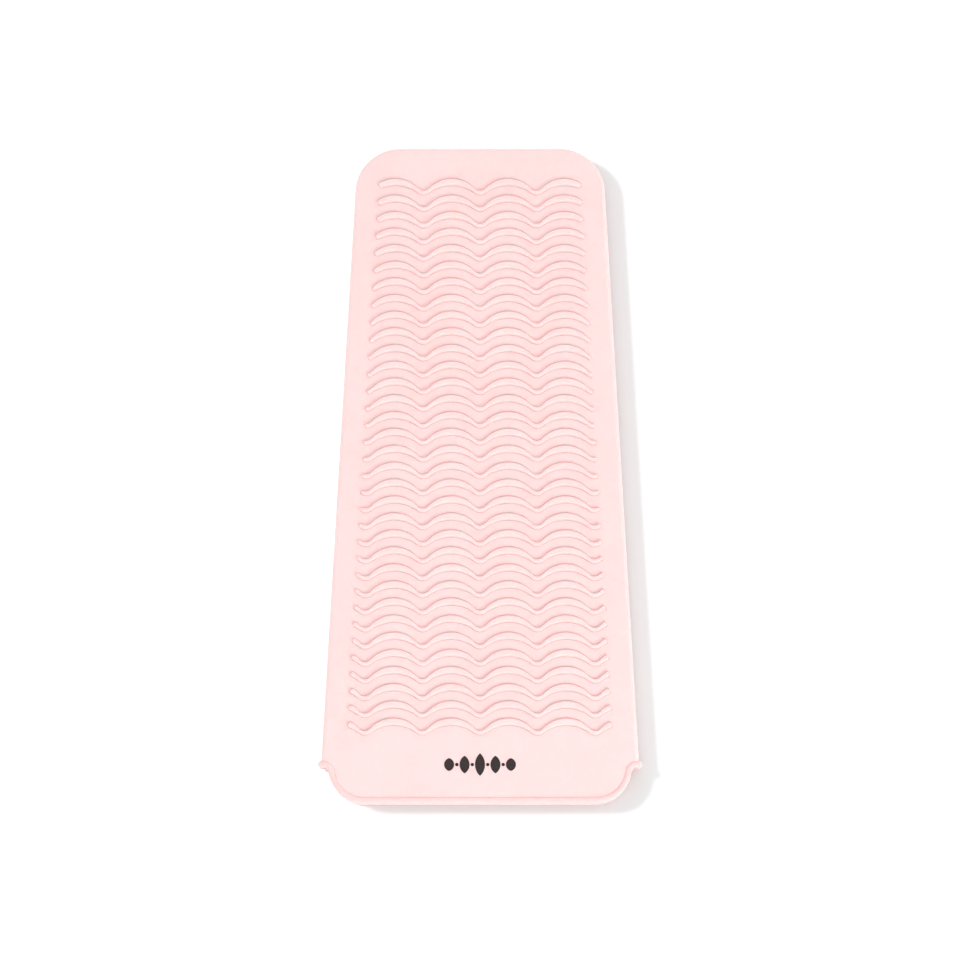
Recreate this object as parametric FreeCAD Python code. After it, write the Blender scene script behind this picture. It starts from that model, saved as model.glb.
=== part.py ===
import FreeCAD, Part
import math
import os

from FreeCAD import Vector

# A moulded silicone travel sleeve for a flat iron, lying flat on its back.
#
# +Y points to the closed, narrow end and -Y out of the open mouth. +Z is up. The origin is on the
# surface that the sleeve lies on, under the middle of the sleeve. Sizes are in millimetres.
#
# The sleeve is two half shells, alike back to front, that meet at a mid-plane. Every function
# below makes the front piece above the mid-plane, where z = 0. The back piece is its mirror image.

# ---- Driving dimensions ---------------------------------------------------------------------

LENGTH = 296.0               # closed end to mouth edge, the proud bond line included
WIDTH_AT_EARS = 140.3        # across the side walls, beside the mouth
SIDE_TAPER = 0.0531          # half-width lost for each mm towards the closed end
END_CORNER_RADIUS = 20.2     # plan radius of the two closed corners
BODY_THICKNESS = 12.0        # face to face, without the ribs
FACE_WALL = 2.2              # thickness of the front and back faces
SIDE_WALL = 3.5              # width of the bonded side and end walls
EDGE_ROUND = 2.0             # round-over from the face into the side wall
POCKET_ROUND = 1.0           # the same round-over inside the pocket

BOND_THICKNESS = 0.3         # the bond line between the half shells
BOND_PROUD = 0.25            # how far the bond line shows outside the side wall

RIB_ROWS = 33
RIB_PITCH = 7.6225           # row to row
RIB_HEIGHT = 1.5
FIRST_CREST_Y = 133.35       # upper edge of the first row, at a crest
WAVE_LENGTH = 25.4           # crest to crest
UPPER_CREST_RADIUS = 13.9    # the rib's edge towards the closed end
UPPER_TROUGH_RADIUS = 3.4
LOWER_CREST_RADIUS = 16.5    # the rib's edge towards the mouth
LOWER_TROUGH_RADIUS = 4.2
RIB_WIDTH_AT_CREST = 3.05
RIB_END_ROUND = 0.7          # corner radius where a row ends
RIB_FIELD_TOP = (45.8, 133.35)     # half-width of the ribbed field, and the y where it is measured
RIB_FIELD_BOTTOM = (58.6, -113.65)

BEAD_WIDTH = 3.0             # the rim bead along the mouth
BEAD_PROUD = 0.7             # above the face
BEAD_INSIDE = 0.4            # below the inner side of the face
BEAD_ROUND = 1.2
TONGUE_HALF_WIDTH = 66.9     # half-width of the lips, past the ears
TONGUE_CORNER_RADIUS = 16.0
EAR_LOWER_Y = -132.25        # the ear's edge nearest the mouth
EAR_PROUD = 1.55             # how far an ear stands out of the side wall
EAR_NECK_RADIUS = 2.2        # hollow corner between the ear and the lip

HINGE_Y = -136.4             # where the lips start to flex
HINGE_GAP = 0.3

MARK_Y = -131.0
LEAF_COUNT = 5
LEAF_SPACING = 6.8
LEAF_WIDTH = 4.4
TALLEST_LEAF = 10.0
LEAF_STEP = 2.2              # each leaf is this much shorter than its inner neighbour
DOT_RADIUS = 0.75
INK_THICKNESS = 0.08

# ---- Worked-out sizes -----------------------------------------------------------------------

HALF_LENGTH = LENGTH / 2
FACE_Z = BODY_THICKNESS / 2
POCKET_Z = FACE_Z - FACE_WALL
BEAD_TOP_Z = FACE_Z + BEAD_PROUD
BEAD_LOW_Z = POCKET_Z - BEAD_INSIDE
MID_PLANE_Z = RIB_HEIGHT + FACE_Z
EAR_UPPER_Y = EAR_LOWER_Y + BEAD_WIDTH
EAR_TIP_X = WIDTH_AT_EARS / 2 + EAR_PROUD
SIDE_ANGLE = math.atan(SIDE_TAPER)
FAR = 400.0                  # longer than the sleeve, for cutting blocks
TINY = 0.01                  # tolerance for picking edges


def side_x(y, inset):
    """Half-width of the body at y, its side moved inwards by inset."""
    return WIDTH_AT_EARS / 2 - (y - EAR_LOWER_Y) * SIDE_TAPER - inset / math.cos(SIDE_ANGLE)


def line(start, end):
    return Part.LineSegment(Vector(*start, 0), Vector(*end, 0)).toShape()


def arc(centre, radius, start_deg, end_deg):
    """Arc in plan from one compass angle to another, counted from +X towards +Y."""
    points = []
    for angle in (start_deg, (start_deg + end_deg) / 2, end_deg):
        turn = math.radians(angle)
        points.append(Vector(centre[0] + radius * math.cos(turn), centre[1] + radius * math.sin(turn), 0))
    return Part.Arc(*points).toShape()


def wire_from(edges):
    return Part.Wire(Part.sortEdges(edges)[0])


def face_from(edges):
    return Part.Face(wire_from(edges))


def mirrored_across_x(edges):
    """The same edges on the other side of the sleeve's centre line."""
    return [edge.mirror(Vector(0, 0, 0), Vector(1, 0, 0)) for edge in edges]


def prism(face, low_z, high_z):
    face = face.copy()
    face.translate(Vector(0, 0, low_z))
    return face.extrude(Vector(0, 0, high_z - low_z))


def block_between(y_low, y_high):
    """A block wider and taller than the sleeve, between two values of y."""
    return Part.makeBox(FAR, y_high - y_low, FAR, Vector(-FAR / 2, y_low, -FAR / 2))


def body_face(inset):
    """Plan of the body, set in all round, running on past the mouth."""
    radius = END_CORNER_RADIUS - inset
    top_y = HALF_LENGTH - BOND_PROUD - inset
    centre_y = top_y - radius
    centre_x = side_x(centre_y, inset + radius)
    side_deg = math.degrees(SIDE_ANGLE)
    side_top = (
        centre_x + radius * math.cos(SIDE_ANGLE),
        centre_y + radius * math.sin(SIDE_ANGLE),
    )
    side_end = (side_x(-FAR / 2, inset), -FAR / 2)
    right = [
        arc((centre_x, centre_y), radius, 90, side_deg),
        line(side_top, side_end),
    ]
    across = [
        line((-centre_x, top_y), (centre_x, top_y)),
        line((-side_end[0], side_end[1]), side_end),
    ]
    return face_from(right + mirrored_across_x(right) + across)


def rounded_slab(inset, height, edge_round):
    """Upper half of the body's shape, its top edge rounded over."""
    slab = body_face(inset).extrude(Vector(0, 0, height))
    top_edges = []
    for edge in slab.Edges:
        box = edge.BoundBox
        if box.ZMin > height - TINY and box.YMax > TINY - FAR / 2:
            top_edges.append(edge)
    return slab.makeFillet(edge_round, top_edges)


def mouth_face(inset):
    """Plan of a lip below the ears. An inset of BEAD_WIDTH gives the area inside the rim bead."""
    corner = (TONGUE_HALF_WIDTH - TONGUE_CORNER_RADIUS, TONGUE_CORNER_RADIUS - HALF_LENGTH)
    reach = TONGUE_CORNER_RADIUS + EAR_NECK_RADIUS
    neck_y = EAR_LOWER_Y - EAR_NECK_RADIUS
    neck = (corner[0] + math.sqrt(reach ** 2 - (neck_y - corner[1]) ** 2), neck_y)
    meet_deg = math.degrees(math.atan2(neck[1] - corner[1], neck[0] - corner[0]))
    corner_radius = TONGUE_CORNER_RADIUS - inset
    neck_radius = EAR_NECK_RADIUS + inset
    right = [
        arc(corner, corner_radius, -90, meet_deg),
        arc(neck, neck_radius, meet_deg + 180, 90),
    ]
    low_y = inset - HALF_LENGTH
    high_y = EAR_LOWER_Y + inset
    across = [
        line((-corner[0], low_y), (corner[0], low_y)),
        line((-neck[0], high_y), (neck[0], high_y)),
    ]
    return face_from(right + mirrored_across_x(right) + across)


def bead_face():
    """Plan of the rim bead: round the lip and out along both ears."""
    nub = BEAD_WIDTH / 2
    nub_x = EAR_TIP_X - nub
    right_end = [arc((nub_x, EAR_LOWER_Y + nub), nub, -90, 90)]
    across = [
        line((-nub_x, EAR_LOWER_Y), (nub_x, EAR_LOWER_Y)),
        line((-nub_x, EAR_UPPER_Y), (nub_x, EAR_UPPER_Y)),
    ]
    ears = face_from(right_end + mirrored_across_x(right_end) + across)
    outside = ears.fuse(mouth_face(0)).removeSplitter()
    return outside.cut(mouth_face(BEAD_WIDTH))


def rim_bead():
    """The whole rim bead of one lip, ears included, rounded along its outer edges."""
    bead = prism(bead_face(), BEAD_LOW_Z, BEAD_TOP_Z)
    top_edges = [edge for edge in bead.Edges if edge.BoundBox.ZMin > BEAD_TOP_Z - TINY]
    return bead.makeFillet(BEAD_ROUND, top_edges)


def half_shell():
    """One half of the pouch, with its share of the side walls and the root of its lip."""
    walls = rounded_slab(0, FACE_Z, EDGE_ROUND).cut(rounded_slab(SIDE_WALL, POCKET_Z, POCKET_ROUND))
    walls = walls.common(block_between(EAR_UPPER_Y, FAR))
    walls = walls.cut(Part.makeBox(FAR, FAR, BOND_THICKNESS, Vector(-FAR / 2, -FAR / 2, -BOND_THICKNESS / 2)))
    lip_root = prism(mouth_face(BEAD_WIDTH), POCKET_Z, FACE_Z).common(block_between(HINGE_Y, FAR))
    return walls.fuse(lip_root).removeSplitter()


def seam_bond():
    """The bond line that joins the half shells round the sides and the closed end."""
    ring = body_face(-BOND_PROUD).cut(body_face(SIDE_WALL))
    bond = prism(ring, -BOND_THICKNESS / 2, BOND_THICKNESS / 2)
    return bond.common(block_between(EAR_UPPER_Y, FAR))


def lip_panel():
    """The free end of one face, inside the rim bead, from the flex line to the mouth."""
    return prism(mouth_face(BEAD_WIDTH), POCKET_Z, FACE_Z).common(block_between(-FAR / 2, HINGE_Y - HINGE_GAP))


def lip_bead():
    return rim_bead().common(block_between(-FAR / 2, HINGE_Y - HINGE_GAP))


def mouth_ear(side):
    """The tear stop at one end of the mouth. side is 1 for +X and -1 for -X."""
    envelope = rounded_slab(-EAR_PROUD, BEAD_TOP_Z, EDGE_ROUND + BEAD_PROUD)
    front_run = rim_bead().common(block_between(HINGE_Y, FAR)).common(envelope)
    pocket_side = side_x(EAR_LOWER_Y, SIDE_WALL)
    wall_zone = Part.makeBox(FAR, FAR, FAR, Vector(pocket_side, -FAR / 2, -FAR / 2))
    wall = prism(bead_face(), 0, BEAD_TOP_Z).common(envelope).common(wall_zone)
    wall = wall.common(block_between(EAR_LOWER_Y, FAR))
    right_half = front_run.common(Part.makeBox(FAR, FAR, FAR, Vector(0, -FAR / 2, -FAR / 2)))
    front = right_half.fuse(wall)
    ear = front.fuse(mirrored_to_back(front)).removeSplitter()
    if side < 0:
        ear = ear.mirror(Vector(0, 0, 0), Vector(1, 0, 0))
    return ear


def wave_edge(crest_y, crest_radius, trough_radius):
    """One edge of a rib: crest and trough arcs, each tangent to the next, across three waves."""
    half_wave = WAVE_LENGTH / 2
    lean = math.degrees(math.asin(half_wave / (crest_radius + trough_radius)))
    drop = half_wave * math.tan(math.radians(lean / 2))
    edges = []
    for step in range(-5, 6, 2):
        crest_x = step * half_wave
        edges.append(arc((crest_x, crest_y - crest_radius), crest_radius, 90 + lean, 90 - lean))
    for step in range(-4, 5, 2):
        trough_x = step * half_wave
        centre = (trough_x, crest_y - drop + trough_radius)
        edges.append(arc(centre, trough_radius, 270 - lean, 270 + lean))
    return edges


def wave_rib(row):
    """One wave-shaped rib standing on the face, cut off along the tapered sides of the field."""
    upper_y = FIRST_CREST_Y - row * RIB_PITCH
    lower_y = upper_y - RIB_WIDTH_AT_CREST
    upper = wave_edge(upper_y, UPPER_CREST_RADIUS, UPPER_TROUGH_RADIUS)
    lower = wave_edge(lower_y, LOWER_CREST_RADIUS, LOWER_TROUGH_RADIUS)
    upper_wire = wire_from(upper)
    lower_wire = wire_from(lower)
    ends = []
    for pick in (min, max):
        upper_end = pick((v.Point for v in upper_wire.Vertexes), key=lambda p: p.x)
        lower_end = pick((v.Point for v in lower_wire.Vertexes), key=lambda p: p.x)
        ends.append(Part.LineSegment(upper_end, lower_end).toShape())
    strip = prism(face_from(upper + lower + ends), FACE_Z, FACE_Z + RIB_HEIGHT)
    rib = strip.common(rib_field())
    return round_rib_ends(rib)


def rib_field():
    """The tapered block that all the ribs stay inside."""
    top_x, top_y = RIB_FIELD_TOP
    bottom_x, bottom_y = RIB_FIELD_BOTTOM
    slope = (bottom_x - top_x) / (top_y - bottom_y)
    high = (top_x - slope * (HALF_LENGTH - top_y), HALF_LENGTH)
    low = (bottom_x + slope * (bottom_y + HALF_LENGTH), -HALF_LENGTH)
    right = [line(high, low)]
    across = [line((-high[0], high[1]), high), line((-low[0], low[1]), low)]
    return prism(face_from(right + mirrored_across_x(right) + across), 0, FAR)


def round_rib_ends(rib):
    """Round the upright corners at both ends of a rib."""
    reach = max(abs(vertex.X) for vertex in rib.Vertexes)
    corners = []
    for edge in rib.Edges:
        box = edge.BoundBox
        upright = box.ZLength > RIB_HEIGHT - TINY
        if upright and abs(box.XMin + box.XMax) / 2 > reach - RIB_WIDTH_AT_CREST / 2:
            corners.append(edge)
    return rib.makeFillet(RIB_END_ROUND, corners)


def leaf(centre_x, height):
    """A pointed oval standing upright on the printed row."""
    tip = Vector(centre_x, MARK_Y + height / 2, 0)
    foot = Vector(centre_x, MARK_Y - height / 2, 0)
    edges = []
    for side in (-1, 1):
        belly = Vector(centre_x + side * LEAF_WIDTH / 2, MARK_Y, 0)
        edges.append(Part.Arc(tip, belly, foot).toShape())
    return prism(face_from(edges), FACE_Z, FACE_Z + INK_THICKNESS)


def printed_mark():
    """A plain ornament in ink: a row of pointed leaves with a dot between each two."""
    pieces = []
    middle = (LEAF_COUNT - 1) / 2
    for index in range(LEAF_COUNT):
        offset = index - middle
        pieces.append(leaf(offset * LEAF_SPACING, TALLEST_LEAF - abs(offset) * LEAF_STEP))
    for index in range(LEAF_COUNT - 1):
        dot_x = (index - middle + 0.5) * LEAF_SPACING
        pieces.append(Part.makeCylinder(DOT_RADIUS, INK_THICKNESS, Vector(dot_x, MARK_Y, FACE_Z)))
    return Part.makeCompound(pieces)


def mirrored_to_back(shape):
    return shape.mirror(Vector(0, 0, 0), Vector(0, 0, 1))


def save(node, shape):
    """Write one sub-part, lifted so that the sleeve lies on z = 0."""
    placed = shape.copy()
    placed.translate(Vector(0, 0, MID_PLANE_Z))
    placed.exportStep("parts/" + node + ".step")
    box = placed.optimalBoundingBox()
    print(f"{node}: valid {placed.isValid()}, {len(placed.Solids)} solids, {placed.Volume:.1f} mm3, "
          f"x {box.XMin:.2f}..{box.XMax:.2f}, y {box.YMin:.2f}..{box.YMax:.2f}, "
          f"z {box.ZMin:.2f}..{box.ZMax:.2f}")


def main():
    os.makedirs("parts", exist_ok=True)

    shell = half_shell()
    save("front_shell", shell)
    save("back_shell", mirrored_to_back(shell))
    save("seam_bond", seam_bond())
    save("right_mouth_ear", mouth_ear(1))
    save("left_mouth_ear", mouth_ear(-1))

    panel = lip_panel()
    bead = lip_bead()
    save("front_lip_panel", panel)
    save("front_lip_bead", bead)
    save("back_lip_panel", mirrored_to_back(panel))
    save("back_lip_bead", mirrored_to_back(bead))

    ribs = [wave_rib(row) for row in range(RIB_ROWS)]
    for row, rib in enumerate(ribs):
        save(f"front_wave_rib_{row + 1:02d}", rib)
    save("back_wave_ribs", Part.makeCompound([mirrored_to_back(rib) for rib in ribs]))

    save("printed_mark", printed_mark())


main()
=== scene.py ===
import logging
import math
from dataclasses import dataclass, field
from enum import Enum
from typing import Callable, Iterable

import bmesh
import bpy
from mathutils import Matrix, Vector


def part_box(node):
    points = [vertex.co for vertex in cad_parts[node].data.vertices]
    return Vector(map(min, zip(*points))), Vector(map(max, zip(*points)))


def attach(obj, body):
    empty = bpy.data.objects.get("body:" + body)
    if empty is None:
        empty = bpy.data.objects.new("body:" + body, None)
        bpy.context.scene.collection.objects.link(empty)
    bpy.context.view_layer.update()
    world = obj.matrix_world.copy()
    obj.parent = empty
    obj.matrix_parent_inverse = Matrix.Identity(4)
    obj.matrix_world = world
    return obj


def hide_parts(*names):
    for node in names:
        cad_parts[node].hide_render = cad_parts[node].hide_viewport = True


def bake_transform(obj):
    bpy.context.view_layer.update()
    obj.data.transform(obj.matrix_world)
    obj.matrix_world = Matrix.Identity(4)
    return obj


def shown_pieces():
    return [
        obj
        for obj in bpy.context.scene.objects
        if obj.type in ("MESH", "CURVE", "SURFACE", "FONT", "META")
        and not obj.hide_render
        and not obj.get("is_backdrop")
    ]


# Looks of a moulded silicone travel sleeve for a flat iron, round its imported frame.
# Sizes are in metres, in the frame's axes: +Y to the closed end, -Y out of the mouth, +Z up.

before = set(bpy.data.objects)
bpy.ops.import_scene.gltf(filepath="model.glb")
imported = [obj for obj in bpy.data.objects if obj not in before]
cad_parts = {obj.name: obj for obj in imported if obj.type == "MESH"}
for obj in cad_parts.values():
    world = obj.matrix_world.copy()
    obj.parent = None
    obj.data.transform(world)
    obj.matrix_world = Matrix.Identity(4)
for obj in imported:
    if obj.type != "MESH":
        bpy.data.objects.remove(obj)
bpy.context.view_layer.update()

MM = 0.001
TOUCH = 2e-6                     # tolerance for picking points by place
UP = Vector((0, 0, 1))
log = logging.getLogger("sleeve")

FACE_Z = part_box("front_shell")[1].z
MID_Z = (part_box("front_shell")[0].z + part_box("back_shell")[1].z) / 2
CLOSED_END_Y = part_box("front_shell")[1].y
MOUTH_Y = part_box("front_lip_bead")[0].y
RIB_ROWS = sum(name.startswith("front_wave_rib_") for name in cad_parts)


class Side(Enum):
    """The two faces of the sleeve, with the sign of their outward z."""

    FRONT = 1
    BACK = -1

    @property
    def word(self) -> str:
        """The word that the side's node names start with."""
        return self.name.lower()


class Part(Enum):
    """What an edit-mode selection picks."""

    VERT = "VERT"
    EDGE = "EDGE"
    FACE = "FACE"


# ---- Modelling bench ------------------------------------------------------------------------


class Bench:
    """One mesh object, modelled in edit mode with operators."""

    def __init__(self, name: str) -> None:
        """Take over the primitive that was just added, and open it in edit mode.

        Args:
            name: The piece's name.
        """
        self.obj = bpy.context.object
        self.obj.name = name
        self.obj.data.name = name
        bpy.ops.object.transform_apply(location=True, rotation=True, scale=True)
        bpy.ops.object.mode_set(mode="EDIT")

    def pick(self, kind: Part, test: Callable[[object], bool]) -> int:
        """Select exactly the elements that pass a test.

        Args:
            kind: Vertices, edges or faces.
            test: Called with each bmesh element.

        Returns:
            How many were selected.
        """
        bpy.ops.mesh.select_mode(type=kind.value)
        bpy.ops.mesh.select_all(action="DESELECT")
        mesh = bmesh.from_edit_mesh(self.obj.data)
        elements = {Part.VERT: mesh.verts, Part.EDGE: mesh.edges, Part.FACE: mesh.faces}[kind]
        count = 0
        for element in elements:
            if test(element):
                element.select_set(True)
                count += 1
        mesh.select_flush_mode()
        bmesh.update_edit_mesh(self.obj.data)
        return count

    def pick_all(self) -> None:
        """Select everything, point by point, because a bare outline has no faces."""
        bpy.ops.mesh.select_mode(type=Part.VERT.value)
        bpy.ops.mesh.select_all(action="SELECT")

    def move(self, x: float = 0.0, y: float = 0.0, z: float = 0.0) -> None:
        """Move the selection."""
        bpy.ops.transform.translate(value=(x, y, z))

    def scale(self, factors: tuple[float, float, float], centre: Iterable[float]) -> None:
        """Scale the selection about a point."""
        bpy.ops.transform.resize(value=factors, center_override=tuple(centre))

    def extrude(self, x: float = 0.0, y: float = 0.0, z: float = 0.0) -> None:
        """Extrude the selection and move what is new."""
        bpy.ops.mesh.extrude_region_move(TRANSFORM_OT_translate={"value": (x, y, z)})

    def bevel(self, width: float, segments: int, corners: bool = False) -> None:
        """Round the selected edges, or the selected corner points of a flat outline.

        Args:
            width: How far the rounding reaches from the edge or corner.
            segments: How many facets it has.
            corners: Whether corner points are rounded, and not edges.
        """
        bpy.ops.mesh.bevel(
            offset_type="OFFSET",
            offset=width,
            segments=segments,
            profile=0.5,
            affect="VERTICES" if corners else "EDGES",
            clamp_overlap=False,
        )

    def cut(self, point: Iterable[float], normal: Iterable[float], drop_outer: bool = False) -> None:
        """Cut everything along a plane, and drop what lies outside it if asked.

        Args:
            point: A point on the plane.
            normal: The plane's normal.
            drop_outer: Whether the side that the normal points to is removed and the cut closed.
        """
        self.pick_all()
        bpy.ops.mesh.bisect(
            plane_co=tuple(point), plane_no=tuple(normal), clear_outer=drop_outer, use_fill=drop_outer
        )

    def modify(self, kind: str, **settings: object) -> None:
        """Add a modifier and apply it at once.

        Args:
            kind: The modifier's type.
            settings: Its properties.
        """
        bpy.ops.object.mode_set(mode="OBJECT")
        modifier = self.obj.modifiers.new(kind.title(), kind)
        for name, value in settings.items():
            setattr(modifier, name, value)
        bpy.ops.object.modifier_apply(modifier=modifier.name)
        bpy.ops.object.mode_set(mode="EDIT")

    def weld(self, distance: float = 0.01 * MM) -> None:
        """Merge points that lie together."""
        self.pick_all()
        bpy.ops.mesh.remove_doubles(threshold=distance)

    def outward(self) -> None:
        """Turn every face outwards."""
        self.pick_all()
        bpy.ops.mesh.normals_make_consistent(inside=False)

    def done(self, smooth_below: float = 40.0) -> bpy.types.Object:
        """Leave edit mode and smooth the piece, keeping edges sharper than an angle.

        Args:
            smooth_below: The angle in degrees.

        Returns:
            The finished object.
        """
        bpy.ops.object.mode_set(mode="OBJECT")
        bpy.ops.object.shade_smooth_by_angle(angle=math.radians(smooth_below))
        return self.obj


def alone(obj: bpy.types.Object | None = None) -> None:
    """Select nothing, or just one object.

    Args:
        obj: The object, or None.
    """
    bpy.ops.object.select_all(action="DESELECT")
    if obj is not None:
        obj.select_set(True)
        bpy.context.view_layer.objects.active = obj


def copy_of(obj: bpy.types.Object, name: str) -> Bench:
    """Duplicate an object with a mesh of its own, and open the copy in edit mode.

    Args:
        obj: What is copied.
        name: The copy's name.

    Returns:
        The copy on its bench.
    """
    alone(obj)
    bpy.ops.object.duplicate(linked=False)
    return Bench(name)


def mirrored_to_back(obj: bpy.types.Object, name: str) -> bpy.types.Object:
    """Copy a front piece to the back, across the plane where the half shells meet.

    Args:
        obj: The front piece.
        name: The back piece's name.

    Returns:
        The back piece.
    """
    bench = copy_of(obj, name)
    bench.pick_all()
    bench.scale((1, 1, -1), (0, 0, MID_Z))
    bench.outward()
    return bench.done()


# ---- Shader maths ---------------------------------------------------------------------------


class Sock:
    """A value socket that works in Python expressions."""

    def __init__(self, graph: "Graph", socket: bpy.types.NodeSocket) -> None:
        """Wrap one output socket."""
        self.graph = graph
        self.socket = socket

    def _math(self, operation: str, first: object, second: object) -> "Sock":
        """Add one Math node."""
        return self.graph.node("ShaderNodeMath", {"operation": operation}, {0: first, 1: second})

    def __add__(self, other: object) -> "Sock":
        """Value plus value."""
        return self._math("ADD", self, other)

    def __radd__(self, other: object) -> "Sock":
        """Number plus value."""
        return self._math("ADD", other, self)

    def __sub__(self, other: object) -> "Sock":
        """Value minus value."""
        return self._math("SUBTRACT", self, other)

    def __rsub__(self, other: object) -> "Sock":
        """Number minus value."""
        return self._math("SUBTRACT", other, self)

    def __mul__(self, other: object) -> "Sock":
        """Value times value."""
        return self._math("MULTIPLY", self, other)

    def __rmul__(self, other: object) -> "Sock":
        """Number times value."""
        return self._math("MULTIPLY", other, self)

    def __abs__(self) -> "Sock":
        """The value without its sign."""
        return self._math("ABSOLUTE", self, 0.0)

    def ramp(self, low: float, high: float) -> "Sock":
        """0 below low, 1 above high, and smooth between."""
        inputs = {"Value": self, "From Min": low, "From Max": high}
        return self.graph.node("ShaderNodeMapRange", {"interpolation_type": "SMOOTHSTEP"}, inputs)


class Graph:
    """A material's node tree."""

    def __init__(self, name: str) -> None:
        """Make a material with one Principled shader.

        Args:
            name: The material's name.
        """
        self.material = bpy.data.materials.new(name)
        self.material.use_nodes = True
        self.tree = self.material.node_tree
        self.shader = next(n for n in self.tree.nodes if n.type == "BSDF_PRINCIPLED")

    def node(self, kind: str, settings: dict, inputs: dict, output: int | str = 0) -> Sock:
        """Add one node.

        Args:
            kind: The node's type.
            settings: Properties, set first.
            inputs: Socket name or number to value or link.
            output: Which output to return.

        Returns:
            The chosen output, wrapped.
        """
        made = self.tree.nodes.new(kind)
        for name, value in settings.items():
            setattr(made, name, value)
        for key, value in inputs.items():
            self.feed(made.inputs[key], value)
        return Sock(self, made.outputs[output])

    def feed(self, socket: bpy.types.NodeSocket, value: object) -> None:
        """Link a wrapped socket to an input, or set the input's value.

        Args:
            socket: The input.
            value: A wrapped socket, or a plain value.
        """
        if isinstance(value, Sock):
            self.tree.links.new(value.socket, socket)
        else:
            socket.default_value = value

    def noise(self, scale: float, detail: float = 2.0, roughness: float = 0.5) -> Sock:
        """Noise on the piece's own coordinates, about 0.5.

        Args:
            scale: Cycles per metre.
            detail: Octaves.
            roughness: How strong the fine octaves are.

        Returns:
            The noise value.
        """
        place = self.node("ShaderNodeTexCoord", {}, {}, "Object")
        inputs = {"Vector": place, "Scale": scale, "Detail": detail, "Roughness": roughness}
        return self.node("ShaderNodeTexNoise", {}, inputs, 0)

    def axis(self, letter: str) -> Sock:
        """One of the piece's own coordinates, in metres."""
        place = self.node("ShaderNodeTexCoord", {}, {}, "Object")
        return self.node("ShaderNodeSeparateXYZ", {}, {0: place}, letter)

    def mix(self, factor: Sock, first: tuple | Sock, second: tuple | Sock) -> Sock:
        """Blend two colours."""
        inputs = {0: factor, 6: first, 7: second}
        return self.node("ShaderNodeMix", {"data_type": "RGBA"}, inputs, 2)

    def bump(self, height: Sock, distance: float, strength: float) -> Sock:
        """A Bump node on a height field."""
        inputs = {"Height": height, "Distance": distance, "Strength": strength}
        return self.node("ShaderNodeBump", {}, inputs)


def srgb(red: float, green: float, blue: float) -> tuple[float, float, float, float]:
    """A display colour from 0 to 255 as scene-linear RGBA.

    Args:
        red: Red, 0 to 255.
        green: Green, 0 to 255.
        blue: Blue, 0 to 255.

    Returns:
        The colour for a shader socket.
    """
    linear = []
    for part in (red / 255, green / 255, blue / 255):
        linear.append(part / 12.92 if part <= 0.04045 else ((part + 0.055) / 1.055) ** 2.4)
    return (*linear, 1.0)


# ---- Finishes -------------------------------------------------------------------------------


@dataclass(frozen=True)
class Silicone:
    """Soft matt moulded silicone, a little translucent, with a fine moulded grain and painted shade
    low in its creases.
    """

    name: str
    tone: tuple = srgb(243, 206, 205)
    # deeper pink, used for random patches and for the painted shade in creases
    deep_tone: tuple = srgb(247, 178, 170)
    crease_height: float = 0.8 * MM      # painted crease shade: the deeper tone fades out this far above the face
    # how much painted shade the creases get
    crease_share: float = 0.65
    cloud_share: float = 0.06            # of deep tone, in broad soft patches
    speckle_share: float = 0.04          # of deep tone, in fine spots
    roughness: float = 0.62
    wear_share: float = 0.16
    grain_scale: float = 3200.0
    grain_depth: float = 0.02 * MM
    grain_strength: float = 0.55
    ripple: float = 1.6                  # strength of the broad swell against the fine grain
    translucence: float = 0.85
    scatter: float = 2.0 * MM
    scatter_rgb: tuple = (1.0, 0.34, 0.30)

    def build(self) -> bpy.types.Material:
        """Make the material.

        Returns:
            The material.
        """
        graph = Graph(self.name)
        shader = graph.shader
        height = abs(graph.axis("Z") - MID_Z) - (FACE_Z - MID_Z)
        # painted shade: deeper pink on the low flanks of ribs and bead, just above the face, where
        # creases hold shade
        crease_shade_mask = (1.0 - height.ramp(0.1 * MM, self.crease_height)) * height.ramp(0.0, 0.06 * MM)
        cloudy = graph.noise(38.0, 3.0, 0.55).ramp(0.38, 0.62)
        speckle = graph.noise(900.0, 2.0, 0.5).ramp(0.35, 0.65)
        patches = cloudy * self.cloud_share + speckle * self.speckle_share
        pale = graph.mix(patches, self.tone, self.deep_tone)
        patched_and_crease_shaded = graph.mix(crease_shade_mask * self.crease_share, pale, self.deep_tone)
        graph.feed(shader.inputs["Base Color"], patched_and_crease_shaded)
        wear = graph.noise(120.0, 4.0, 0.6)
        graph.feed(shader.inputs["Roughness"], self.roughness + wear * self.wear_share)
        grain = graph.noise(self.grain_scale, 3.0, 0.6) + graph.noise(260.0, 2.0, 0.5) * self.ripple
        bump = graph.bump(grain, self.grain_depth, self.grain_strength)
        graph.feed(shader.inputs["Normal"], bump)
        shader.inputs["Subsurface Weight"].default_value = self.translucence
        shader.inputs["Subsurface Radius"].default_value = self.scatter_rgb
        shader.inputs["Subsurface Scale"].default_value = self.scatter
        shader.inputs["IOR"].default_value = 1.41
        shader.inputs["Specular IOR Level"].default_value = 0.2
        return graph.material


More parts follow.
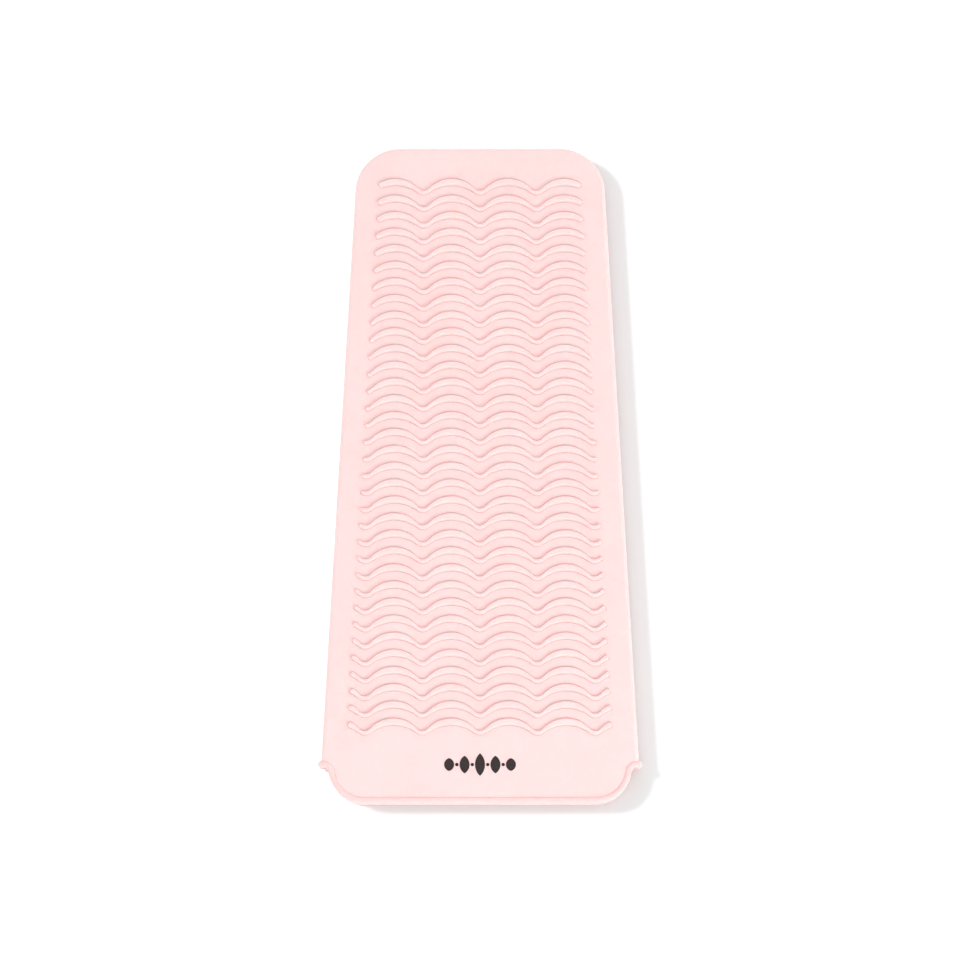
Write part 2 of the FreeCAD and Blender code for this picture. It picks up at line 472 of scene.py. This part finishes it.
@dataclass(frozen=True)
class Ink:
    """Matt screen-printed ink that follows the silicone's grain."""

    name: str
    tone: tuple = srgb(42, 33, 34)
    thin_tone: tuple = srgb(62, 50, 50)
    thin_share: float = 0.5
    roughness: float = 0.55
    roughness_share: float = 0.2
    grain_scale: float = 3200.0
    grain_depth: float = 0.02 * MM

    def build(self) -> bpy.types.Material:
        """Make the material.

        Returns:
            The material.
        """
        graph = Graph(self.name)
        shader = graph.shader
        cover = graph.noise(1500.0, 3.0, 0.6).ramp(0.45, 0.75)
        printed = graph.mix(cover * self.thin_share, self.tone, self.thin_tone)
        graph.feed(shader.inputs["Base Color"], printed)
        gloss = graph.noise(700.0) * self.roughness_share
        graph.feed(shader.inputs["Roughness"], self.roughness + gloss)
        grain = graph.noise(self.grain_scale, 3.0, 0.6)
        graph.feed(shader.inputs["Normal"], graph.bump(grain, self.grain_depth, 0.5))
        shader.inputs["Specular IOR Level"].default_value = 0.25
        return graph.material


@dataclass(frozen=True)
class Sweep:
    """The plain pale surface that the sleeve lies on."""

    name: str
    tone: tuple = (0.825, 0.855, 0.855, 1.0)

    def build(self) -> bpy.types.Material:
        """Make the material.

        Returns:
            The material.
        """
        graph = Graph(self.name)
        graph.shader.inputs["Base Color"].default_value = self.tone
        graph.shader.inputs["Roughness"].default_value = 0.9
        graph.shader.inputs["Specular IOR Level"].default_value = 0.1
        return graph.material


def dress(obj: bpy.types.Object, material: bpy.types.Material) -> None:
    """Give a piece one material all over."""
    obj.data.materials.clear()
    obj.data.materials.append(material)


# ---- Pieces ---------------------------------------------------------------------------------


@dataclass
class LipBend:
    """Where the silicone bends when a lip of the mouth is lifted."""

    start_y: float = -136.3 * MM
    end_y: float = -142.7 * MM

    def apply(self, obj: bpy.types.Object, side: Side) -> None:
        """Bake a piece's transform into its mesh; the piece is not bent."""
        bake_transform(obj)


@dataclass
class Skin:
    """One face of the sleeve with its side walls, running on into the lip of the mouth."""

    bend: LipBend
    taper: float = 0.0531
    end_corner_radius: float = 20.2 * MM
    end_corner_steps: int = 16
    edge_round: float = 2.0 * MM
    edge_round_steps: int = 8
    wall: float = 2.2 * MM
    walled_to_y: float = -130.75 * MM    # the side walls end here, under the ears
    lip_edge_inset: float = 1.5 * MM     # the lip's edge lies in the middle of the rim bead
    lip_steps: tuple = (                 # half-width and y, past the ear
        (68.5 * MM, -131.1 * MM),
        (65.3 * MM, -134.0 * MM),
    )
    lip_corner_radius: float = 12.3 * MM
    lip_corner_steps: int = 12
    face_border: float = 0.6 * MM        # narrow faces all round, so that the flat shades flat
    row_pitch: float = 1.1 * MM          # of the rows that the lip bends at
    smooth_below: float = 30.0
    pieces: list = field(default_factory=list)

    def build(self) -> None:
        """Model the front skin, and copy it to the back."""
        alone()
        bpy.ops.mesh.primitive_cube_add(size=1)
        bench = Bench("front_skin")
        self._block(bench)
        self._round(bench)
        self._lip(bench)
        bench.modify("SOLIDIFY", thickness=self.wall, offset=-1, use_even_offset=True)
        front = bench.done(self.smooth_below)
        self.pieces = [(Side.FRONT, front), (Side.BACK, mirrored_to_back(front, "back_skin"))]

    def _half_width(self, y: float) -> float:
        """Half-width of the body at a place along its length."""
        walls_end_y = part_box("right_mouth_ear")[1].y
        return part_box("front_shell")[1].x - (y - walls_end_y) * self.taper

    def _block(self, bench: Bench) -> None:
        """Size the block, and narrow its closed end.

        Args:
            bench: The skin being modelled.
        """
        length = CLOSED_END_Y - self.walled_to_y
        base_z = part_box("front_shell")[0].z
        wide = self._half_width(self.walled_to_y)
        bench.pick_all()
        bench.scale((2 * wide, length, FACE_Z - base_z), (0, 0, 0))
        bench.move(y=(CLOSED_END_Y + self.walled_to_y) / 2, z=(FACE_Z + base_z) / 2)
        bench.pick(Part.VERT, lambda v: v.co.y > 0)
        bench.scale((self._half_width(CLOSED_END_Y) / wide, 1, 1), (0, CLOSED_END_Y, MID_Z))

    def _round(self, bench: Bench) -> None:
        """Round the closed end's corners and the edge of the face, and open the block.

        Args:
            bench: The skin being modelled.
        """
        turn = math.pi / 2 - math.atan(self.taper)
        bench.pick(Part.EDGE, lambda e: all(v.co.y > 0 for v in e.verts)
                   and abs(e.verts[0].co.x - e.verts[1].co.x) < TOUCH)
        bench.bevel(self.end_corner_radius * math.tan(turn / 2), self.end_corner_steps)
        bench.pick(Part.EDGE, lambda e: all(v.co.z > FACE_Z - TOUCH for v in e.verts)
                   and any(v.co.y > self.walled_to_y + TOUCH for v in e.verts))
        bench.bevel(self.edge_round, self.edge_round_steps)
        bench.pick(Part.FACE, lambda f: f.normal.z < -0.9 or f.normal.y < -0.9)
        bpy.ops.mesh.delete(type="FACE")

    def _lip(self, bench: Bench) -> None:
        """Run the flat face on past the side walls, round its corners and give it rows to bend at.

        Args:
            bench: The skin being modelled.
        """
        lip_y = MOUTH_Y + self.lip_edge_inset
        bench.pick(Part.EDGE, lambda e: all(
            v.co.z > FACE_Z - TOUCH and v.co.y < self.walled_to_y + TOUCH for v in e.verts))
        was_x, was_y = self._flat_half_width(bench), self.walled_to_y
        for half_width, y in (*self.lip_steps, (self.lip_steps[-1][0], lip_y)):
            bench.extrude(y=y - was_y)
            bench.scale((half_width / was_x, 1, 1), (0, y, FACE_Z))
            was_x, was_y = half_width, y
        bench.pick(Part.VERT, lambda v: v.co.y < lip_y + TOUCH)
        bench.bevel(self.lip_corner_radius, self.lip_corner_steps, corners=True)
        bench.pick(Part.FACE, lambda f: f.normal.z > 0.9999)
        bpy.ops.mesh.inset(thickness=self.face_border)
        row_y = self.walled_to_y - self.row_pitch
        while row_y > lip_y + self.row_pitch:
            bench.cut((0, row_y, 0), (0, 1, 0))
            row_y -= self.row_pitch

    def _flat_half_width(self, bench: Bench) -> float:
        """Half-width of the edge that is selected.

        Args:
            bench: The skin being modelled.

        Returns:
            The largest x in the selection.
        """
        mesh = bmesh.from_edit_mesh(bench.obj.data)
        return max(vert.co.x for vert in mesh.verts if vert.select)

    def dress(self, material: bpy.types.Material) -> None:
        """Give both skins their finish, bake their transforms and hide the CAD nodes that they stand
        for.

        Args:
            material: The finish.
        """
        for side, obj in self.pieces:
            dress(obj, material)
            self.bend.apply(obj, side)
            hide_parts(f"{side.word}_shell", f"{side.word}_lip_panel")


@dataclass
class BondLine:
    """The thin line of bond between the two skins, round the sides and the closed end."""

    proud: float = 0.2 * MM
    piece: bpy.types.Object | None = None

    def build(self) -> None:
        """Model the line from the rim of the front skin's side walls."""
        rim_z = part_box("front_shell")[0].z
        bench = copy_of(bpy.data.objects["front_skin"], "bond_line")
        bench.pick(Part.FACE, lambda f: f.normal.z < -0.9
                   and abs(f.calc_center_median().z - rim_z) < 0.05 * MM)
        bpy.ops.mesh.select_all(action="INVERT")
        bpy.ops.mesh.delete(type="FACE")
        bench.pick_all()
        bench.extrude(z=2 * (MID_Z - rim_z))
        bench.outward()
        bpy.ops.transform.shrink_fatten(value=self.proud)
        self.piece = bench.done()

    def dress(self, material: bpy.types.Material) -> None:
        """Give the line its finish and its place in the frame.

        Args:
            material: The finish.
        """
        dress(self.piece, material)
        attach(self.piece, "sleeve")
        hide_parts("seam_bond")


@dataclass
class RimBead:
    """The raised bead round each lip, out along the ears and round the side walls."""

    bend: LipBend
    width: float = 3.0 * MM
    half_width: float = 66.9 * MM        # of the lip
    corner_radius: float = 16.0 * MM
    corner_steps: int = 18
    neck_radius: float = 2.2 * MM
    neck_steps: int = 10
    edge_round: float = 2.0 * MM         # of the skin, which the ear follows
    wrap_steps: int = 6                  # round the skin's edge
    straight_steps: int = 4              # from the middle to the corner
    section_points: int = 20
    smooth_below: float = 50.0
    pieces: list = field(default_factory=list)

    def build(self) -> None:
        """Model the front bead as one swept section, and copy it to the back."""
        low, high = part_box("front_lip_bead")
        half_y = self.width / 2
        half_z = (high.z - low.z) / 2
        start = Vector((0, MOUTH_Y + half_y, (low.z + high.z) / 2))
        alone()
        bpy.ops.mesh.primitive_circle_add(
            vertices=self.section_points, radius=1, rotation=(0, math.pi / 2, 0))
        bench = Bench("front_rim_bead")
        bench.pick_all()
        bench.scale((1, half_y, half_z), (0, 0, 0))
        bench.move(*start)
        corner = Vector((self.half_width - self.corner_radius, MOUTH_Y + self.corner_radius, start.z))
        neck = self._neck(corner)
        lean = math.atan2(neck.y - corner.y, neck.x - corner.x)
        for _ in range(self.straight_steps):
            bench.extrude(x=corner.x / self.straight_steps)
        self._spin(bench, corner, math.pi / 2 + lean, UP, self.corner_steps)
        self._spin(bench, neck, -(math.pi / 2 + lean), UP, self.neck_steps)
        self._sink_over_edge(bench, neck, lean)
        turn_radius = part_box("right_mouth_ear")[1].x - half_z - neck.x
        drop = self._edge_drop(neck.x)
        pivot = Vector((neck.x, 0, start.z - drop - turn_radius))
        bench.pick(Part.VERT, lambda v: abs(v.co.x - neck.x) < TOUCH and v.co.y > neck.y)
        self._spin(bench, pivot, math.pi / 2, Vector((0, 1, 0)), self.wrap_steps)
        bench.extrude(z=MID_Z - pivot.z)
        bpy.ops.mesh.edge_face_add()
        bench.modify("MIRROR", use_clip=False, merge_threshold=0.01 * MM)
        bench.weld()
        bench.outward()
        front = bench.done(self.smooth_below)
        self.pieces = [(Side.FRONT, front), (Side.BACK, mirrored_to_back(front, "back_rim_bead"))]

    def _neck(self, corner: Vector) -> Vector:
        """Centre of the hollow corner between the lip and the ear.

        Args:
            corner: Centre of the lip's round corner.

        Returns:
            The centre, at the bead's height.
        """
        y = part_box("right_mouth_ear")[1].y - self.width - self.neck_radius
        reach = self.corner_radius + self.neck_radius
        return Vector((corner.x + math.sqrt(reach ** 2 - (y - corner.y) ** 2), y, corner.z))

    def _spin(self, bench: Bench, centre: Vector, angle: float, axis: Vector, steps: int) -> None:
        """Sweep the selected section round an arc, by the right-hand rule about the axis."""
        bpy.ops.mesh.spin(steps=steps, angle=-angle, center=tuple(centre), axis=tuple(axis))

    def _edge_drop(self, x: float) -> float:
        """How far the body's rounded edge has fallen away at a distance from the middle.

        Args:
            x: The distance from the middle.

        Returns:
            The drop below the flat face.
        """
        round_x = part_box("front_shell")[1].x - self.edge_round
        if x < round_x:
            return 0.0
        return self.edge_round - math.sqrt(self.edge_round ** 2 - (x - round_x) ** 2)

    def _sink_over_edge(self, bench: Bench, neck: Vector, lean: float) -> None:
        """Lower the stretch that turns outwards, so that it follows the body's rounded edge.

        Args:
            bench: The bead being modelled.
            neck: Centre of the hollow corner.
            lean: Direction from the lip's corner centre to the neck, in radians from +X.
        """
        half_y = self.width / 2
        radius = self.neck_radius + half_y
        for step in range(1, self.neck_steps + 1):
            turn = math.pi + lean - (math.pi / 2 + lean) * step / self.neck_steps
            ray = Vector((math.cos(turn), math.sin(turn), 0))
            across = ray.cross(UP)
            centre = neck + ray * radius

            def on_ring(vert: bmesh.types.BMVert) -> bool:
                """Whether a point lies on this ring of the sweep."""
                offset = vert.co - neck
                flat = Vector((offset.x, offset.y, 0))
                near = (flat - ray * radius).length < half_y + TOUCH
                return near and abs(flat.dot(across)) < TOUCH

            if bench.pick(Part.VERT, on_ring):
                bench.move(z=-self._edge_drop(centre.x))

    def dress(self, material: bpy.types.Material) -> None:
        """Give both beads their finish, bake their transforms and hide the CAD nodes that they stand
        for.

        Args:
            material: The finish.
        """
        for side, obj in self.pieces:
            dress(obj, material)
            self.bend.apply(obj, side)
            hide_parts(f"{side.word}_lip_bead", "left_mouth_ear", "right_mouth_ear")


@dataclass
class WaveRibs:
    """The rows of wave-shaped ribs on both faces."""

    wave_length: float = 25.4 * MM
    upper_radii: tuple = (13.9 * MM, 3.4 * MM)     # crest and trough arcs, towards the closed end
    lower_radii: tuple = (16.5 * MM, 4.2 * MM)     # the same, towards the mouth
    width_at_crest: float = 3.05 * MM
    border_slope: float = 0.0518
    columns: int = 14                              # in half a wave
    waves: int = 5
    root: float = 0.4 * MM                         # how far a rib reaches into the skin
    section: tuple = (                             # shares of half-width and of height
        (1.20, 0.0), (1.10, 0.03), (1.02, 0.12), (0.95, 0.30), (0.88, 0.55),
        (0.81, 0.76), (0.71, 0.91), (0.56, 0.985), (0.34, 1.0), (0.0, 1.0),
    )
    end_inset: float = 0.2 * MM
    end_rings: tuple = (1.0, 0.62, 0.34, 0.14, 0.03, 0.0)   # depths of the rounding, in half-widths
    end_flat: float = 0.2                          # the very end's share of the full section
    smooth_below: float = 50.0
    front: list = field(default_factory=list)
    back: bpy.types.Object | None = None

    def build(self) -> None:
        """Model one long rib, cut a copy to each row's length, and mirror them all to the back."""
        master = self._master()
        for row in range(1, RIB_ROWS + 1):
            self.front.append(self._row(master, f"front_wave_rib_{row:02d}"))
        copies = [mirrored_to_back(obj, f"back_rib_{index}") for index, obj in enumerate(self.front)]
        alone(copies[0])
        for obj in copies[1:]:
            obj.select_set(True)
        bpy.ops.object.join()
        self.back = bpy.context.object
        self.back.name = "back_ribs"
        bpy.data.objects.remove(master)

    def _edge_y(self, x: float, radii: tuple) -> float:
        """How far an edge lies below its crest, at a distance from the crest.

        Args:
            x: Distance from the crest along the row, at most half a wave.
            radii: The crest's and the trough's arc radius, tangent to each other.

        Returns:
            The drop, as a negative y.
        """
        crest, trough = radii
        half_wave = self.wave_length / 2
        lean = math.asin(half_wave / (crest + trough))
        if x <= crest * math.sin(lean):
            return math.sqrt(crest ** 2 - x ** 2) - crest
        drop = half_wave * math.tan(lean / 2)
        return trough - drop - math.sqrt(trough ** 2 - (half_wave - x) ** 2)

    def _span_at(self, x: float) -> tuple[float, float]:
        """Middle and half-width of a rib in y, at any x, counted from the crest's upper edge.

        Args:
            x: Distance from the middle of the row.

        Returns:
            The middle and the half-width.
        """
        phase = abs(x) % self.wave_length
        from_crest = abs(phase - self.wave_length / 2)
        upper = self._edge_y(from_crest, self.upper_radii)
        lower = self._edge_y(from_crest, self.lower_radii) - self.width_at_crest
        return (upper + lower) / 2, (upper - lower) / 2

    def _master(self) -> bpy.types.Object:
        """A rib five waves long, standing on z = 0 with its crests at y = 0.

        Returns:
            The master object.
        """
        rows = list(self.section) + [(-v, z) for v, z in reversed(self.section[:-1])]
        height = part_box("front_wave_rib_01")[1].z - FACE_Z
        half_wave = self.wave_length / 2
        alone()
        bpy.ops.mesh.primitive_grid_add(
            x_subdivisions=self.columns, y_subdivisions=len(rows) - 1, size=2)
        bench = Bench("rib_master")
        bench.pick_all()
        bench.scale((half_wave / 2, 1, 1), (0, 0, 0))
        bench.move(x=half_wave / 2)
        row_gap = 2 / (len(rows) - 1)
        for index, (share, rise) in enumerate(rows):
            was = 1 - index * row_gap
            bench.pick(Part.VERT, lambda v, was=was:
                       abs(v.co.z) < TOUCH and abs(v.co.y - was) < row_gap / 9)
            bench.move(y=share - was + 10 * (index + 1), z=rise * height)
        for index in range(len(rows)):
            bench.pick(Part.VERT, lambda v, index=index: abs(v.co.y - 10 * (index + 1)) < 2)
            bench.move(y=-10 * (index + 1))
        for column in range(self.columns + 1):
            x = column * half_wave / self.columns
            middle, half = self._span_at(x)
            bench.pick(Part.VERT, lambda v, x=x: abs(v.co.x - x) < TOUCH)
            bench.scale((1, half, 1), (x, 0, 0))
            bench.move(y=middle)
        bench.modify("MIRROR", use_clip=False, merge_threshold=0.01 * MM)
        bench.modify(
            "ARRAY",
            count=self.waves,
            use_relative_offset=False,
            use_constant_offset=True,
            constant_offset_displace=(self.wave_length, 0, 0),
            use_merge_vertices=True,
            merge_threshold=0.01 * MM,
        )
        bench.pick_all()
        bench.move(x=-(self.waves // 2) * self.wave_length)
        bench.pick(Part.EDGE, lambda e: e.is_boundary)
        bench.extrude(z=-self.root)
        bpy.ops.mesh.edge_face_add()
        bench.outward()
        return bench.done()

    def _row(self, master: bpy.types.Object, node: str) -> bpy.types.Object:
        """One row of the front face, cut to its own length with rounded ends.

        Args:
            master: The long rib.
            node: The CAD node that the row stands for.

        Returns:
            The row.
        """
        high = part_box(node)[1]
        bench = copy_of(master, node.replace("front_wave_rib", "front_rib"))
        bench.pick_all()
        bench.move(y=high.y, z=FACE_Z)
        reach, middle, half = self._end_of(node)
        slope = (middle - self._span_at(reach - half)[0]) / half
        for hand in (1, -1):
            along = Vector((hand, slope, 0)).normalized()
            tip = Vector((hand * reach, high.y + middle, FACE_Z))
            bench.cut(tip, along, drop_outer=True)
            for depth in self.end_rings[:-1]:
                bench.cut(tip - along * depth * half, along)
            for depth in self.end_rings:
                self._shrink_ring(bench, tip - along * depth * half, along, depth)
        return bench.done(self.smooth_below)

    def _end_of(self, node: str) -> tuple[float, float, float]:
        """Where a row ends: its reach in x, and its middle and half-width in y there.

        Args:
            node: The CAD node that the row stands for.

        Returns:
            Reach, middle counted from the crest's upper edge, and half-width.
        """
        low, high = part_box(node)
        reach = high.x
        for _ in range(6):
            middle = self._span_at(reach)[0]
            reach = high.x - self.end_inset - self.border_slope * (high.y + middle - low.y)
        return reach, *self._span_at(reach)

    def _shrink_ring(self, bench: Bench, centre: Vector, normal: Vector, depth: float) -> None:
        """Draw one ring of a rib's end in towards its middle line.

        Args:
            bench: The rib being modelled.
            centre: Middle of the ring.
            normal: The normal of the ring's plane.
            depth: 0 at the very end, 1 where the rounding starts.
        """
        bench.pick(Part.VERT, lambda v: abs((v.co - centre).dot(normal)) < TOUCH)
        factor = max(math.sqrt(1 - (1 - depth) ** 2), self.end_flat)
        bench.scale((factor, factor, math.sqrt(factor)), centre)

    def dress(self, material: bpy.types.Material) -> None:
        """Give the ribs their finish and their place in the frame.

        Args:
            material: The finish.
        """
        for row, obj in enumerate(self.front, start=1):
            dress(obj, material)
            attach(obj, "sleeve")
            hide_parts(f"front_wave_rib_{row:02d}")
        dress(self.back, material)
        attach(self.back, "sleeve")
        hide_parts("back_wave_ribs")


# ---- Stage ----------------------------------------------------------------------------------


@dataclass
class Studio:
    """Plain floor, soft light, and the camera above the mouth end."""

    tilt: float = math.radians(9)
    lens: float = 140.0
    distance: float = 1.66299
    aim: tuple = (0.0, -4.2 * MM)
    world: float = 0.95

    def build(self) -> None:
        """Make the floor, lights and camera."""
        alone()
        bpy.ops.mesh.primitive_plane_add(size=6)
        floor = bpy.context.object
        floor.name = "floor"
        dress(floor, Sweep("pale_floor").build())
        floor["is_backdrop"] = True
        self._camera()
        fill = self._area("top_fill", (0.0, 0.1, 1.9), 1.6, 8.0)
        self._light_only(fill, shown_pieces())
        self._light_only(self._area("floor_fill", (0.5, -1.2, 0.9), 0.5, 3.5), [floor])
        key = self._area("key", (0.75, -0.95, 1.0), 0.5, 10.0)
        drop = self._area("drop", (-0.99, 0.30, 1.2), 0.45, 26.0)
        self._light_only(drop, [floor])
        self._light_only(key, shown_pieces())
        background = bpy.data.worlds.new("studio")
        background.use_nodes = True
        background.node_tree.nodes["Background"].inputs["Color"].default_value = (1, 1, 1, 1)
        background.node_tree.nodes["Background"].inputs["Strength"].default_value = self.world
        bpy.context.scene.world = background
        bpy.context.scene.view_settings.view_transform = "Standard"

    def _camera(self) -> None:
        """Place the camera so that it looks down at the face from above the mouth end."""
        target = Vector((self.aim[0], self.aim[1], FACE_Z))
        back = Vector((0, -math.sin(self.tilt), math.cos(self.tilt)))
        bpy.ops.object.camera_add(location=target + back * self.distance, rotation=(self.tilt, 0, 0))
        camera = bpy.context.object
        camera.data.lens = self.lens
        camera.data.sensor_width = 36.0
        camera.data.clip_start = 0.05
        bpy.context.scene.camera = camera

    def _light_only(self, light: bpy.types.Object, lit: Iterable[bpy.types.Object]) -> None:
        """Let a light reach only some objects.

        Args:
            light: The light.
            lit: What it lights.
        """
        receivers = bpy.data.collections.new(f"{light.name}_receivers")
        for obj in lit:
            receivers.objects.link(obj)
        light.light_linking.receiver_collection = receivers

    def _area(self, name: str, place: tuple, size: float, power: float) -> bpy.types.Object:
        """Add one soft light that faces the sleeve.

        Args:
            name: The light's name.
            place: Where it stands.
            size: Its width.
            power: Its power in watts.

        Returns:
            The light.
        """
        bpy.ops.object.light_add(type="AREA", location=place)
        light = bpy.context.object
        light.name = name
        light.data.shape = "DISK"
        light.data.size = size
        light.data.energy = power
        light.rotation_euler = (-Vector(place)).to_track_quat("-Z", "Y").to_euler()
        return light


def main() -> None:
    """Build the sleeve's looks in order, and report each piece."""
    logging.basicConfig(level=logging.INFO, format="%(message)s")
    silicone = Silicone("pink_silicone").build()
    # painted shade: the rim bead gets a darker copy of the pink silicone to tone down its brightly
    # lit outer face, with almost no painted crease shade
    shaded_rim_silicone = Silicone("shaded_rim_pink_silicone", tone=srgb(243, 199, 198), crease_share=0.05).build()
    ink = Ink("brown_ink").build()
    bend = LipBend()
    parts = (
        (Skin(bend), silicone),
        (BondLine(), silicone),
        (RimBead(bend), shaded_rim_silicone),
        (WaveRibs(), silicone),
    )
    for part, _ in parts:
        part.build()
        log.info("built %s", type(part).__name__)
    for part, finish in parts:
        part.dress(finish)
    dress(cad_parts["printed_mark"], ink)
    Studio().build()
    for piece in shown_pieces():
        log.info("%s: %d faces", piece.name, len(piece.data.polygons))


if __name__ == "__main__":
    main()
